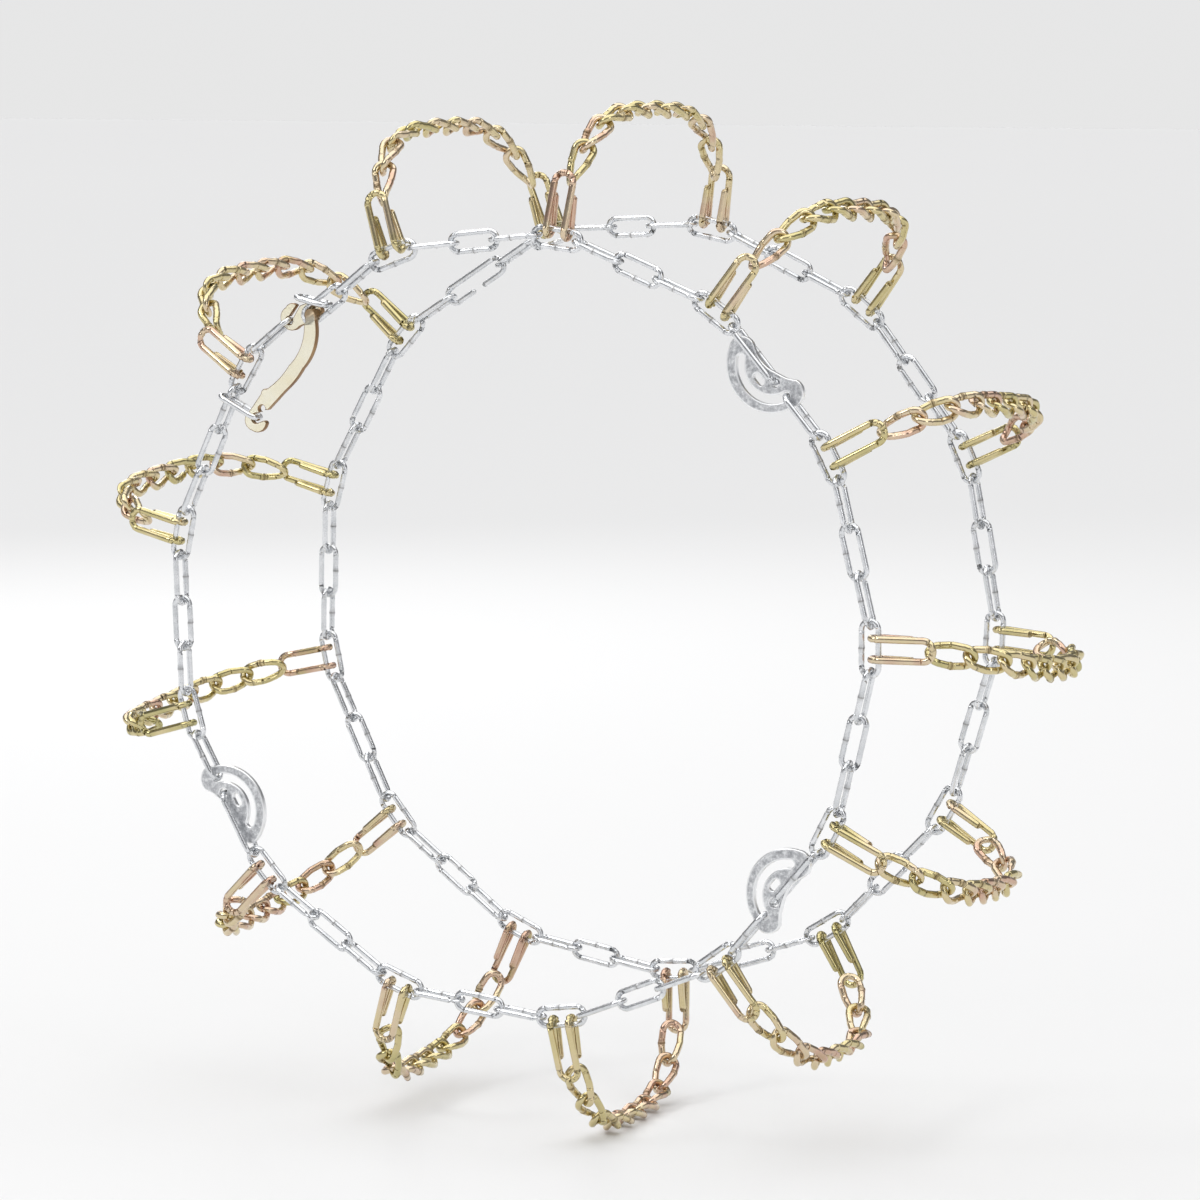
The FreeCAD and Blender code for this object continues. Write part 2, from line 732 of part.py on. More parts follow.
# Retaining ring: on edge, round the face link's upper leg and the corner of the head.
RING_GAP = 15.2                  # between its two legs, centre to centre
RING_PLANE = 117.9
ring_near = Vector(18.4, 9.6, 0)
ring_far = Vector(36.0, -11.8, 0)


def edge_ring(name, placement, first, second, gap, plane):
    """Oblong ring on edge: its end bows stand at two points of a frame, legs gap apart."""
    start = placement.multVec(first)
    end = placement.multVec(second)
    start.y = end.y = -plane
    half_length = (end - start).Length / 2
    half_gap = gap / 2
    corners = [Vector(half_length, half_gap, 0), Vector(-half_length, half_gap, 0),
               Vector(-half_length, -half_gap, 0), Vector(half_length, -half_gap, 0)]
    form = bent_wire(f"{name}_form", corners, ["ring_bend"] * 4, "ring_wire", closed=True)
    outward = (end - start).cross(Vector(0, 1, 0))
    return copies(name, form.Shape, [frame((start + end) * 0.5, end - start, outward)])


nodes.append(edge_ring("latch_ring", lever_frame, ring_near, ring_far, RING_GAP, RING_PLANE))

# Keeper ring: from the edge link below the latch's hook link to the lever's end hook.
KEEPER_GAP = 12.0
KEEPER_PLANE = 126.2
keeper_pivot = along(outer.left(last), outer.right(last - 1), 8.6)
keeper_hold = lever_frame.multVec(Vector(-67.3, -47.7, 0))
keeper_run = keeper_hold - keeper_pivot
keeper_run.y = 0
keeper_outer = keeper_pivot - keeper_run.normalize() * 5.0
nodes.append(edge_ring("keeper_ring", Placement(), keeper_outer, keeper_hold, KEEPER_GAP,
                       KEEPER_PLANE))

# ---------------------------------------------------------------- checks and files

document.recompute()
for item in document.Objects:
    if "Invalid" in item.State or "Error" in item.State:
        raise RuntimeError(f"{item.Name} failed: {item.State}")
names = [node.Label for node in nodes]
if len(set(names)) != len(names):
    raise RuntimeError("two sub-parts share a name")

os.makedirs("parts", exist_ok=True)
for node in nodes:
    shape = node.Shape
    if shape.isNull() or not shape.isValid() or not shape.Solids:
        raise RuntimeError(f"{node.Label} has no valid solid")
    shape.exportStep(f"parts/{node.Label}.step")
print(len(nodes), "sub-parts,", sum(len(node.Shape.Solids) for node in nodes), "solids")
print(f"latch: seat {lever_seat}, chain end turns about {latch_end}")
print(f"keeper turns about {keeper_pivot}")
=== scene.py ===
import heapq
import json
import math
import random

import bmesh
import bpy
import numpy as np
from mathutils import Matrix, Vector
from mathutils.geometry import delaunay_2d_cdt

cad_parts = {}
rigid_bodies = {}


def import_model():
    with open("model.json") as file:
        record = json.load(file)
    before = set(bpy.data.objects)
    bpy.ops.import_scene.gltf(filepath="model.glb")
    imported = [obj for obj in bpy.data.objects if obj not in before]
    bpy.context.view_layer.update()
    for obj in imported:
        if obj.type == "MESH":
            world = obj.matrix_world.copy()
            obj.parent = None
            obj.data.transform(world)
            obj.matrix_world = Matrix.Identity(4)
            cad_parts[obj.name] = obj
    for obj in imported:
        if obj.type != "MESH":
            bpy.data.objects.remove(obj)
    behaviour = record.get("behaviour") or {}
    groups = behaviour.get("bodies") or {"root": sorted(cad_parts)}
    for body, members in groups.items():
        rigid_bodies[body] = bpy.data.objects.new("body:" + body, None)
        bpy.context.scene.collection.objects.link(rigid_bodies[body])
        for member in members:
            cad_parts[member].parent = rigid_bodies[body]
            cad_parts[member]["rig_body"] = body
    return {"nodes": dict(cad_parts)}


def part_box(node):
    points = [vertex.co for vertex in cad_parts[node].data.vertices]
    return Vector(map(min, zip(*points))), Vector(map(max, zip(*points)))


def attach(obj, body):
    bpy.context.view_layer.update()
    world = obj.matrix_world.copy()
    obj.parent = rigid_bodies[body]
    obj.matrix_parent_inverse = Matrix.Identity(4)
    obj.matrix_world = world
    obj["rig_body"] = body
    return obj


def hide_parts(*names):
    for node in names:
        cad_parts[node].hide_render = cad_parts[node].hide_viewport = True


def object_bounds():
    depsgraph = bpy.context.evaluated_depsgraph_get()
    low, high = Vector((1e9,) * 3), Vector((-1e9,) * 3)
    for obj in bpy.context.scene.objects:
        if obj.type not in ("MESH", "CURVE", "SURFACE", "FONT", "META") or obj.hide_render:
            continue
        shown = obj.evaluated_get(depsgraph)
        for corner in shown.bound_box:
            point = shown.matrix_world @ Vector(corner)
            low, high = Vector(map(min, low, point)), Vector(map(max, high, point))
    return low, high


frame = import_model()
cad_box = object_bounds()
MM = 0.001

# ---------------------------------------------------------------- camera and studio

CAMERA_PLACE = Vector((1.8258, -3.4717, 0.4619))
CAMERA_RIGHT = Vector((0.8869, 0.4621, 0.0))
CAMERA_UP = Vector((-0.0529, 0.1015, 0.9934))
CAMERA_BACK = Vector((0.4590, -0.8810, 0.1144))
CAMERA_LENS = 147.1              # mm, on a film 36 mm wide

# Brightness of the sky at heights from the horizon's 0 to the top's 1. The dark band
# is what gives round wires their dark lines.
SKY = ((0.0, 0.455), (0.07, 0.455), (0.20, 0.10), (0.58, 0.12), (0.80, 1.0))
SKY_STRENGTH = 1.75
SKY_BLUE = 1.03                  # blue of the sky's lower part against its red and green
FLOOR_REACH = 40.0               # half the floor's side, m
FLOOR_DROP = 0.5 * MM            # gap between the lowest link and the floor


def make_camera():
    data = bpy.data.cameras.new("camera")
    data.lens = CAMERA_LENS
    data.sensor_width = 36.0
    data.clip_start = 0.1
    data.clip_end = 200.0
    camera = bpy.data.objects.new("camera", data)
    bpy.context.scene.collection.objects.link(camera)
    turn = Matrix((CAMERA_RIGHT, CAMERA_UP, CAMERA_BACK)).transposed()
    camera.matrix_world = Matrix.Translation(CAMERA_PLACE) @ turn.to_4x4()
    bpy.context.scene.camera = camera


def area_light(name, place, size, power):
    """Soft light aimed at the wheel's centre."""
    data = bpy.data.lights.new(name, "AREA")
    data.shape = "RECTANGLE"
    data.size, data.size_y = size
    data.energy = power
    light = bpy.data.objects.new(name, data)
    bpy.context.scene.collection.objects.link(light)
    light.location = place
    light.rotation_mode = "QUATERNION"
    light.rotation_quaternion = (-Vector(place)).to_track_quat("-Z", "Y")


def nodes_of(tree):
    """An emptied node tree's nodes and links."""
    tree.nodes.clear()
    return tree.nodes, tree.links


def make_world():
    """Sky whose brightness changes with height only."""
    world = bpy.data.worlds.new("studio")
    bpy.context.scene.world = world
    world.use_nodes = True
    nodes, links = nodes_of(world.node_tree)
    place = nodes.new("ShaderNodeTexCoord")
    split = nodes.new("ShaderNodeSeparateXYZ")
    ramp = nodes.new("ShaderNodeValToRGB")
    glow = nodes.new("ShaderNodeBackground")
    out = nodes.new("ShaderNodeOutputWorld")
    links.new(place.outputs["Generated"], split.inputs[0])
    links.new(split.outputs["Z"], ramp.inputs[0])
    stops = ramp.color_ramp.elements
    (first, horizon), *between, (last, top) = SKY
    stops[0].position, stops[0].color = first, (horizon, horizon, horizon, 1)
    stops[1].position, stops[1].color = last, (top, top, top, 1)
    for position, grey in between:
        stops.new(position).color = (grey, grey, grey * SKY_BLUE, 1)
    links.new(ramp.outputs[0], glow.inputs[0])
    glow.inputs[1].default_value = SKY_STRENGTH
    links.new(glow.outputs[0], out.inputs[0])


def make_floor(height):
    mesh = bpy.data.meshes.new("floor")
    corners = [(-1, -1), (1, -1), (1, 1), (-1, 1)]
    mesh.from_pydata([(x * FLOOR_REACH, y * FLOOR_REACH, height) for x, y in corners],
                     [], [(0, 1, 2, 3)])
    floor = bpy.data.objects.new("floor", mesh)
    bpy.context.scene.collection.objects.link(floor)
    material = bpy.data.materials.new("pale_floor")
    material.use_nodes = True
    nodes, links = nodes_of(material.node_tree)
    shade = nodes.new("ShaderNodeBsdfPrincipled")
    out = nodes.new("ShaderNodeOutputMaterial")
    grain = nodes.new("ShaderNodeTexNoise")
    grain.inputs["Scale"].default_value = 3.0
    tint = nodes.new("ShaderNodeMix")
    tint.data_type = "RGBA"
    links.new(grain.outputs["Fac"], tint.inputs["Factor"])
    tint.inputs["A"].default_value = (0.80, 0.80, 0.80, 1)
    tint.inputs["B"].default_value = (0.83, 0.83, 0.83, 1)
    links.new(tint.outputs["Result"], shade.inputs["Base Color"])
    shade.inputs["Roughness"].default_value = 0.85
    links.new(shade.outputs[0], out.inputs[0])
    mesh.materials.append(material)


# ---------------------------------------------------------------- materials

# Colours are linear. The rows of a ramp are a position from 0 to 1 and a colour.
ZINC_CLOUD = [(0.3, (0.64, 0.66, 0.68)), (0.7, (0.86, 0.87, 0.89))]
ZINC_DULL = (0.60, 0.61, 0.63)
ZINC_HEATED = (0.42, 0.41, 0.40)
ZINC_SEAM = (0.16, 0.15, 0.14)
ZINC_SPANGLE = [(0.36, (0.32, 0.33, 0.35)), (0.50, (0.58, 0.59, 0.61)),
                (0.62, (0.90, 0.91, 0.92))]
# Painted highlight: near-white colour on the cams' edges, standing in for light caught by
# the bevel.
ZINC_EDGE_HIGHLIGHT = (0.88, 0.89, 0.90)
CHROMATE_FILM = [(0.05, (0.48, 0.44, 0.21)), (0.28, (0.60, 0.52, 0.27)),
                 (0.46, (0.68, 0.58, 0.34)), (0.62, (0.70, 0.58, 0.41)),
                 (0.78, (0.62, 0.42, 0.32)), (0.95, (0.48, 0.40, 0.21))]
CHROMATE_HEATED = (0.30, 0.21, 0.10)
CHROMATE_SEAM = (0.12, 0.08, 0.04)
LEVER_FACE = [(0.3, (0.95, 0.88, 0.66)), (0.6, (0.98, 0.94, 0.78)),
              (0.8, (0.94, 0.89, 0.64))]
# Painted shade: dark brown for the lever's rounded edges and its fold.
LEVER_RIM_SHADE = [(0.3, (0.22, 0.12, 0.06)), (0.7, (0.40, 0.26, 0.13))]
LINK_SHIFT = 0.55                # how far a link's own tone moves it along the film's ramp
SEAM_SHARPNESS, SEAM_STRENGTH = 20.0, 0.6


class Material:
    """A node material being built: each method adds a node and gives its output."""

    def __init__(self, name):
        self.material = bpy.data.materials.new(name)
        self.material.use_nodes = True
        self.nodes, self.links = nodes_of(self.material.node_tree)
        self.shade = self.nodes.new("ShaderNodeBsdfPrincipled")
        out = self.nodes.new("ShaderNodeOutputMaterial")
        self.links.new(self.shade.outputs[0], out.inputs[0])
        self.place = self.nodes.new("ShaderNodeTexCoord").outputs["Object"]

    def noise(self, scale, detail=3.0, rough=0.55):
        """Noise with about this many lumps a metre."""
        node = self.nodes.new("ShaderNodeTexNoise")
        node.inputs["Scale"].default_value = scale
        node.inputs["Detail"].default_value = detail
        node.inputs["Roughness"].default_value = rough
        self.links.new(self.place, node.inputs["Vector"])
        return node.outputs["Fac"]

    def attribute(self, name):
        """A value that the mesh holds for each point, from 0 to 1."""
        node = self.nodes.new("ShaderNodeAttribute")
        node.attribute_name = name
        return node.outputs["Fac"]

    def ramp(self, value, stops):
        node = self.nodes.new("ShaderNodeValToRGB")
        self.links.new(value, node.inputs[0])
        elements = node.color_ramp.elements
        while len(elements) < len(stops):
            elements.new(0.5)
        for element, (position, colour) in zip(elements, stops):
            element.position = position
            element.color = (*colour, 1)
        return node.outputs[0]

    def scale(self, value, low, high):
        """A value from 0 to 1 brought to a range."""
        node = self.nodes.new("ShaderNodeMapRange")
        self.links.new(value, node.inputs["Value"])
        node.inputs["To Min"].default_value = low
        node.inputs["To Max"].default_value = high
        return node.outputs[0]

    def math(self, operation, first, second):
        node = self.nodes.new("ShaderNodeMath")
        node.operation = operation
        for socket, value in zip(node.inputs, (first, second)):
            if isinstance(value, (int, float)):
                socket.default_value = value
            else:
                self.links.new(value, socket)
        return node.outputs[0]

    def mix(self, share, first, second):
        """A share of the second colour over the first."""
        node = self.nodes.new("ShaderNodeMix")
        node.data_type = "RGBA"
        for name, value in (("Factor", share), ("A", first), ("B", second)):
            socket = [s for s in node.inputs if s.name == name and s.enabled][0]
            if isinstance(value, tuple):
                socket.default_value = (*value, 1)
            else:
                self.links.new(value, socket)
        return [s for s in node.outputs if s.enabled][0]

    def seam(self, weld):
        """Thin dark line where a link is welded."""
        line = self.math("POWER", weld, SEAM_SHARPNESS)
        return self.math("MULTIPLY", line, SEAM_STRENGTH)

    def bump(self, height, strength, distance):
        node = self.nodes.new("ShaderNodeBump")
        node.inputs["Strength"].default_value = strength
        node.inputs["Distance"].default_value = distance
        self.links.new(height, node.inputs["Height"])
        self.links.new(node.outputs[0], self.shade.inputs["Normal"])

    def finish(self, colour, roughness):
        self.links.new(colour, self.shade.inputs["Base Color"])
        self.links.new(roughness, self.shade.inputs["Roughness"])
        self.shade.inputs["Metallic"].default_value = 1.0
        return self.material


def bright_zinc():
    """Bright zinc of the side chains, cloudy, with dull welds."""
    m = Material("bright_zinc")
    cloud = m.noise(110.0, detail=2.0)
    frost = m.noise(900.0, rough=0.65)
    tone = m.attribute("tone")
    weld = m.attribute("weld")
    base = m.ramp(cloud, ZINC_CLOUD)
    base = m.mix(m.scale(tone, 0.0, 0.30), base, ZINC_DULL)
    base = m.mix(m.math("MULTIPLY", weld, 0.30), base, ZINC_HEATED)
    base = m.mix(m.seam(weld), base, ZINC_SEAM)
    rough = m.math("ADD", m.scale(frost, 0.18, 0.34), m.math("MULTIPLY", weld, 0.15))
    height = m.math("ADD", m.math("MULTIPLY", frost, 0.12), cloud)
    m.bump(height, strength=0.2, distance=0.04 * MM)
    return m.finish(base, rough)


def yellow_zinc():
    """Yellow chromate on the cross chains: its film shifts from olive over gold to pink."""
    m = Material("yellow_zinc")
    film = m.noise(38.0, detail=2.0, rough=0.45)
    fine = m.noise(700.0, rough=0.6)
    tone = m.attribute("tone")
    weld = m.attribute("weld")
    own = m.math("MULTIPLY", m.math("SUBTRACT", tone, 0.5), LINK_SHIFT)
    base = m.ramp(m.math("ADD", own, film), CHROMATE_FILM)
    base = m.mix(m.math("MULTIPLY", weld, 0.45), base, CHROMATE_HEATED)
    base = m.mix(m.seam(weld), base, CHROMATE_SEAM)
    rough = m.math("ADD", m.scale(fine, 0.14, 0.30), m.math("MULTIPLY", weld, 0.2))
    height = m.math("ADD", m.math("MULTIPLY", fine, 0.15), m.noise(150.0, detail=2.0))
    m.bump(height, strength=0.2, distance=0.04 * MM)
    return m.finish(base, rough)


def cam_zinc():
    """Zinc on the cams' flat faces, spangled, with a painted highlight along the edges."""
    m = Material("cam_zinc")
    spangle = m.noise(240.0, detail=6.0, rough=0.75)
    cloud = m.noise(60.0)
    edge = m.attribute("edge")
    base = m.ramp(spangle, ZINC_SPANGLE)
    base = m.mix(m.scale(cloud, 0.0, 0.35), base, ZINC_DULL)
    # Painted highlight: the edges are coloured near-white.
    base = m.mix(edge, base, ZINC_EDGE_HIGHLIGHT)
    rough = m.math("SUBTRACT", m.scale(spangle, 0.36, 0.58), m.math("MULTIPLY", edge, 0.15))
    m.bump(spangle, strength=0.3, distance=0.1 * MM)
    return m.finish(base, rough)


def lever_gold():
    """Pale gold on the lever's faces, with painted shade in dark brown on its edges and
    fold.
    """
    m = Material("lever_gold")
    cloud = m.noise(45.0, detail=2.0)
    grain = m.noise(600.0)
    edge = m.attribute("edge")
    # Painted shade: the edges and the fold take the dark brown ramp.
    base = m.mix(edge, m.ramp(cloud, LEVER_FACE), m.ramp(cloud, LEVER_RIM_SHADE))
    rough = m.math("ADD", m.scale(grain, 0.16, 0.30), m.math("MULTIPLY", edge, 0.18))
    m.bump(grain, strength=0.2, distance=0.06 * MM)
    return m.finish(base, rough)


# ---------------------------------------------------------------- wires

RING_SIDES = 18                  # points round a wire
RING_STEP = 1.5 * MM             # distance between rings along a welded link
WELD_STEP = 0.4 * MM             # the same at its weld
WELD_REACH = 3.6 * MM            # half the length that the weld's close rings take
WELD_COLLAR = 2.2 * MM           # half-width of the swelling round a weld
COLLAR_SWELL = 0.05              # and its height, as a share of the wire's radius
WELD_RIDGE = 0.55 * MM           # half-width of the ridge on it
RIDGE_SWELL = 0.07
WELD_TINT = 2.6 * MM             # half-width of the discoloured stretch
WELD_SLIP = 0.14 * MM            # the most by which a weld's two sides miss each other
SLIP_STEP = 0.5 * MM             # half-length of the step between them
SLIP_REACH = 5 * MM              # and of the stretch over which the wire comes back
LINK_WAVER, OPEN_WAVER = 0.006, 0.008    # unevenness of the radius, as a share of it
PHASE = 6.28                     # about a whole turn
OPEN_STEP = 1.2 * MM             # distance between rings along an open wire
TIP = 0.8 * MM                   # length of an open wire's rounded end
TIP_STEPS = (0, 0.15, 0.4, 0.7, 1)
TIP_WIDTH = 0.80                 # the wire's width at its very end, as a share
TIP_TINT = 1.2 * MM              # length that is discoloured by the cut
TANGENT_REACH = 0.3 * MM         # a line's direction is taken over this much either way
LINE_SAMPLES = 400               # points along a link in the search for its weld
SAME_POINT = 0.15 * MM           # centreline points nearer than this are one
TURN = 2 * math.pi


def mesh_arrays(mesh):
    """Vertices, their normals and the edges of a mesh, as arrays."""
    count = len(mesh.vertices)
    places = np.zeros(count * 3)
    mesh.vertices.foreach_get("co", places)
    corners = np.zeros(len(mesh.loops), int)
    mesh.loops.foreach_get("vertex_index", corners)
    corner_normals = np.zeros(len(mesh.loops) * 3)
    mesh.corner_normals.foreach_get("vector", corner_normals)
    normals = np.zeros((count, 3))
    normals[corners] = corner_normals.reshape(-1, 3)
    edges = np.zeros(len(mesh.edges) * 2, int)
    mesh.edges.foreach_get("vertices", edges)
    return places.reshape(-1, 3), normals, edges.reshape(-1, 2)


def centrelines(node, radius):
    """The wires of a CAD node drawn in to their centrelines.

    Gives, for each wire, its points and each point's neighbours with their distances.
    """
    places, normals, edges = mesh_arrays(frame["nodes"][node].data)
    bend = np.linalg.norm(normals[edges[:, 0]] - normals[edges[:, 1]], axis=1) > 1e-3
    round_side = np.zeros(len(places), bool)
    for column in (0, 1):
        np.logical_or.at(round_side, edges[:, column], bend)
    kept = edges[round_side[edges[:, 0]] & round_side[edges[:, 1]]]
    drawn = bpy.data.meshes.new("centreline")
    drawn.from_pydata((places - normals * radius).tolist(), kept.tolist(), [])
    graph = bmesh.new()
    graph.from_mesh(drawn)
    bpy.data.meshes.remove(drawn)
    lone = [v for v in graph.verts if not v.link_edges]
    bmesh.ops.delete(graph, geom=lone, context="VERTS")
    bmesh.ops.remove_doubles(graph, verts=graph.verts, dist=SAME_POINT)
    graph.verts.index_update()
    lines = []
    for wire in separate_wires(graph):
        number = {vertex: index for index, vertex in enumerate(wire)}
        near = [[(number[e.other_vert(v)], e.calc_length()) for e in v.link_edges]
                for v in wire]
        lines.append((np.array([v.co for v in wire]), near))
    graph.free()
    return lines


def separate_wires(graph):
    """The vertices of each connected piece of a graph."""
    seen = set()
    wires = []
    for first in graph.verts:
        if first in seen:
            continue
        wire, queue = [], [first]
        seen.add(first)
        while queue:
            vertex = queue.pop()
            wire.append(vertex)
            for edge in vertex.link_edges:
                other = edge.other_vert(vertex)
                if other not in seen:
                    seen.add(other)
                    queue.append(other)
        wires.append(wire)
    return wires


def walk(near, start):
    """Distance of each point from the start, along the graph."""
    found = np.full(len(near), np.inf)
    found[start] = 0
    queue = [(0.0, start)]
    while queue:
        distance, here = heapq.heappop(queue)
        if distance > found[here]:
            continue
        for other, length in near[here]:
            if distance + length < found[other]:
                found[other] = distance + length
                heapq.heappush(queue, (found[other], other))
    return found


def principal(points):
    """Centre and the three axes of a cloud of points, longest first."""
    centre = points.mean(0)
    _, vectors = np.linalg.eigh(np.cov((points - centre).T))
    return centre, vectors[:, ::-1].T


def ordered_loop(points):
    """Points of a closed link in their order round it, and its centre and axes."""
    centre, axes = principal(points)
    long, wide = (points - centre) @ axes[0], (points - centre) @ axes[1]
    order = np.argsort(np.arctan2(wide, long))
    return points[order], centre, axes


def ordered_run(points, near):
    """Points of an open wire in their order from one end to the other."""
    far = int(np.argmax(walk(near, 0)))
    return points[np.argsort(walk(near, far))]


def distances(points, closed):
    """The line's points, with the first again if it is closed, and how far along each is."""
    line = np.vstack([points, points[:1]]) if closed else points
    steps = np.linalg.norm(np.diff(line, axis=0), axis=1)
    return line, np.concatenate([[0], np.cumsum(steps)])


def resample(points, closed, stations):
    """Points at distances along the line."""
    line, along = distances(points, closed)
    return np.stack([np.interp(stations, along, line[:, k]) for k in range(3)], 1)


def line_length(points, closed):
    return float(distances(points, closed)[1][-1])


def tangents(points, closed, stations, length):
    """The line's directions at distances along it."""
    keep = (lambda s: np.mod(s, length)) if closed else (lambda s: np.clip(s, 0, length))
    return unit(resample(points, closed, keep(stations + TANGENT_REACH))
                - resample(points, closed, keep(stations - TANGENT_REACH)))


def unit(rows):
    return rows / np.maximum(np.linalg.norm(rows, axis=1, keepdims=True), 1e-12)


class Shell:
    """Mesh being gathered from swept wires, with its point attributes."""

    def __init__(self):
        self.points, self.faces = [], []
        self.marks = {"tone": [], "weld": []}

    def add_rings(self, rings, closed, tone, weld):
        """Adds a tube. rings is stations x sides x 3, and weld is one value a station."""
        start = len(self.points)
        count, sides = rings.shape[:2]
        self.points += rings.reshape(-1, 3).tolist()
        self.marks["tone"] += [tone] * (count * sides)
        self.marks["weld"] += np.repeat(weld, sides).tolist()
        for ring in range(count if closed else count - 1):
            after = (ring + 1) % count
            for side in range(sides):
                beside = (side + 1) % sides
                self.faces.append((start + ring * sides + side,
                                   start + ring * sides + beside,
                                   start + after * sides + beside,
                                   start + after * sides + side))
        if not closed:
            last = start + (count - 1) * sides
            self.faces.append(tuple(start + side for side in reversed(range(sides))))
            self.faces.append(tuple(last + side for side in range(sides)))

    def make(self, name, material):
        mesh = bpy.data.meshes.new(name)
        mesh.from_pydata(self.points, [], self.faces)
        for mark, values in self.marks.items():
            attribute = mesh.attributes.new(mark, "FLOAT", "POINT")
            attribute.data.foreach_set("value", values)
        smooth = [len(face) == 4 for face in self.faces]
        mesh.polygons.foreach_set("use_smooth", smooth)
        mesh.materials.append(material)
        mesh.update()
        piece = bpy.data.objects.new(name, mesh)
        bpy.context.scene.collection.objects.link(piece)
        return piece


def bell(distance, width, power=2):
    """1 at distance 0, falling to nearly nothing beyond the width."""
    return np.exp(-(distance / width) ** power)


def wobble(stations, length, dice, size):
    """Slow unevenness along a wire, which meets itself at a closed wire's joint."""
    total = np.zeros(len(stations))
    for waves in (2, 3, 5):
        total += np.sin(TURN * waves * stations / length + dice.uniform(0, PHASE)) / waves
    return size * total


def tube(line, outward, across, reach, turn):
    """Rings round a line, at distances from it that are stations x sides."""
    return (line[:, None, :]
            + outward[:, None, :] * (reach * np.cos(turn))[:, :, None]
            + across[:, None, :] * (reach * np.sin(turn))[:, :, None])[:, ::-1]


def find_weld(points, length, centre, axes, weld_side):
    """Distance along a link to the middle of the leg that its weld is on."""
    stations = np.linspace(0, length, LINE_SAMPLES, endpoint=False)
    offset = resample(points, True, stations) - centre
    long, wide = offset @ axes[0], offset @ weld_side(centre, axes)
    at = int(np.argmin(np.abs(long) + np.where(wide > 0, 0, 1)))
    return at * length / LINE_SAMPLES


def sweep_link(shell, points, radius, dice, weld_side):
    """A welded link: even rings all round, closer at the weld in the middle of one leg."""
    points, centre, axes = ordered_loop(points)
    length = line_length(points, True)
    weld_at = find_weld(points, length, centre, axes, weld_side)
    plain = np.arange(0, length - WELD_REACH * 2, RING_STEP) + weld_at + WELD_REACH
    dense = np.arange(-WELD_REACH, WELD_REACH, WELD_STEP) + weld_at
    spread = np.concatenate([dense, plain])
    stations = np.mod(spread, length)
    line = resample(points, True, stations)
    tangent = tangents(points, True, stations, length)
    outward = line - centre
    outward = unit(outward - (outward * tangent).sum(1, keepdims=True) * tangent)
    across = np.cross(tangent, outward)
    distance = np.mod(spread - weld_at + length / 2, length) - length / 2
    slip = dice.uniform(-WELD_SLIP, WELD_SLIP)
    step = slip * np.tanh(distance / SLIP_STEP) * bell(distance, SLIP_REACH)
    line = line + outward * step[:, None]
    turn = np.linspace(0, TURN, RING_SIDES, endpoint=False)
    lump = 1 + 0.35 * np.sin(turn * 2 + dice.uniform(0, PHASE)) + 0.2 * np.sin(
        turn * 3 + dice.uniform(0, PHASE))
    collar = bell(distance, WELD_COLLAR, 4)[:, None]
    ridge = bell(distance, WELD_RIDGE)[:, None]
    swell = (wobble(stations, length, dice, LINK_WAVER)[:, None]
             + collar * COLLAR_SWELL * lump + ridge * RIDGE_SWELL * lump)
    rings = tube(line, outward, across, radius * (1 + swell), turn)
    order = np.argsort(distance)
    shell.add_rings(rings[order], True, dice.random(), bell(distance[order], WELD_TINT))


def carried(tangent):
    """Directions across a line that turn with it and don't twist round it."""
    outward = np.zeros_like(tangent)
    guess = np.cross(tangent[0], [0.3, 0.5, 0.8])
    for index, run in enumerate(tangent):
        guess = guess - run * (guess @ run)
        guess = guess / np.linalg.norm(guess)
        outward[index] = guess
    return outward


def sweep_open(shell, points, near, radius, dice):
    """An open wire with blunt, slightly rounded ends."""
    points = ordered_run(points, near)
    length = line_length(points, False)
    end = TIP * np.array(TIP_STEPS)
    inner = np.linspace(TIP, length - TIP, int(length / OPEN_STEP))[1:-1]
    stations = np.concatenate([end, inner, length - end[::-1]])
    line = resample(points, False, stations)
    tangent = tangents(points, False, stations, length)
    outward = carried(tangent)
    across = np.cross(tangent, outward)
    from_end = np.minimum(stations, length - stations)
    curve = np.sqrt(np.clip(1 - (1 - from_end / TIP).clip(0) ** 2, 0, 1))
    blunt = TIP_WIDTH + (1 - TIP_WIDTH) * curve
    reach = radius * blunt * (1 + wobble(stations, length, dice, OPEN_WAVER))
    turn = np.linspace(0, TURN, RING_SIDES, endpoint=False)
    rings = tube(line, outward, across, reach[:, None], turn)
    shell.add_rings(rings, False, dice.random(), 0.5 * bell(from_end, TIP_TINT))


def coin(value):
    """A choice of two that is always the same for the same place."""
    return math.sin(value) > 0


def towards_axle(centre, axes):
    """The wide axis of a link, pointing to the wheel's axle or, on edge, either way."""
    wide = axes[1]
    if abs(wide[1]) > 0.7:
        kept = (wide[1] > 0) == coin(centre[0] * 900)
    else:
        kept = wide @ -np.array([centre[0], 0, centre[2]]) >= 0
    return wide if kept else -wide


def either_side(centre, axes):
    """The wide axis of a link, one way or the other."""
    return axes[1] if coin(centre[0] * 700 + centre[2] * 900) else -axes[1]


def stand_for(piece, node):
    """Gives a piece the motion of a CAD node and hides the node; the piece already stands in
    its place.
    """
    cad = frame["nodes"][node]
    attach(piece, cad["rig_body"])
    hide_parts(node)


def wire_piece(node, radius, material, opened=False, weld_side=towards_axle):
    """Smooth wires in the place of a CAD node's, with welds or blunt ends."""
    dice = random.Random(node)
    shell = Shell()
    for points, near in centrelines(node, radius):
        if opened:
            sweep_open(shell, points, near, radius, dice)
        else:
            sweep_link(shell, points, radius, dice, weld_side)
    stand_for(shell.make(node + "_wire", material), node)


# ---------------------------------------------------------------- plates

SHARP_BEND = 32.0                # an outline's corner stays sharp above this, degrees
LONG_EDGE = 1.5                  # an edge this much longer than both beside it is straight
WELDED = 0.001 * MM              # vertices nearer than this are one
IN_PLANE = 0.01 * MM             # a point nearer than this to a plane is in it
MITRE = 0.7                      # keeps an inset corner from running out too far
CDT_INSIDE, CDT_NEAR = 1, 1e-6   # output type and merging distance of the triangulation
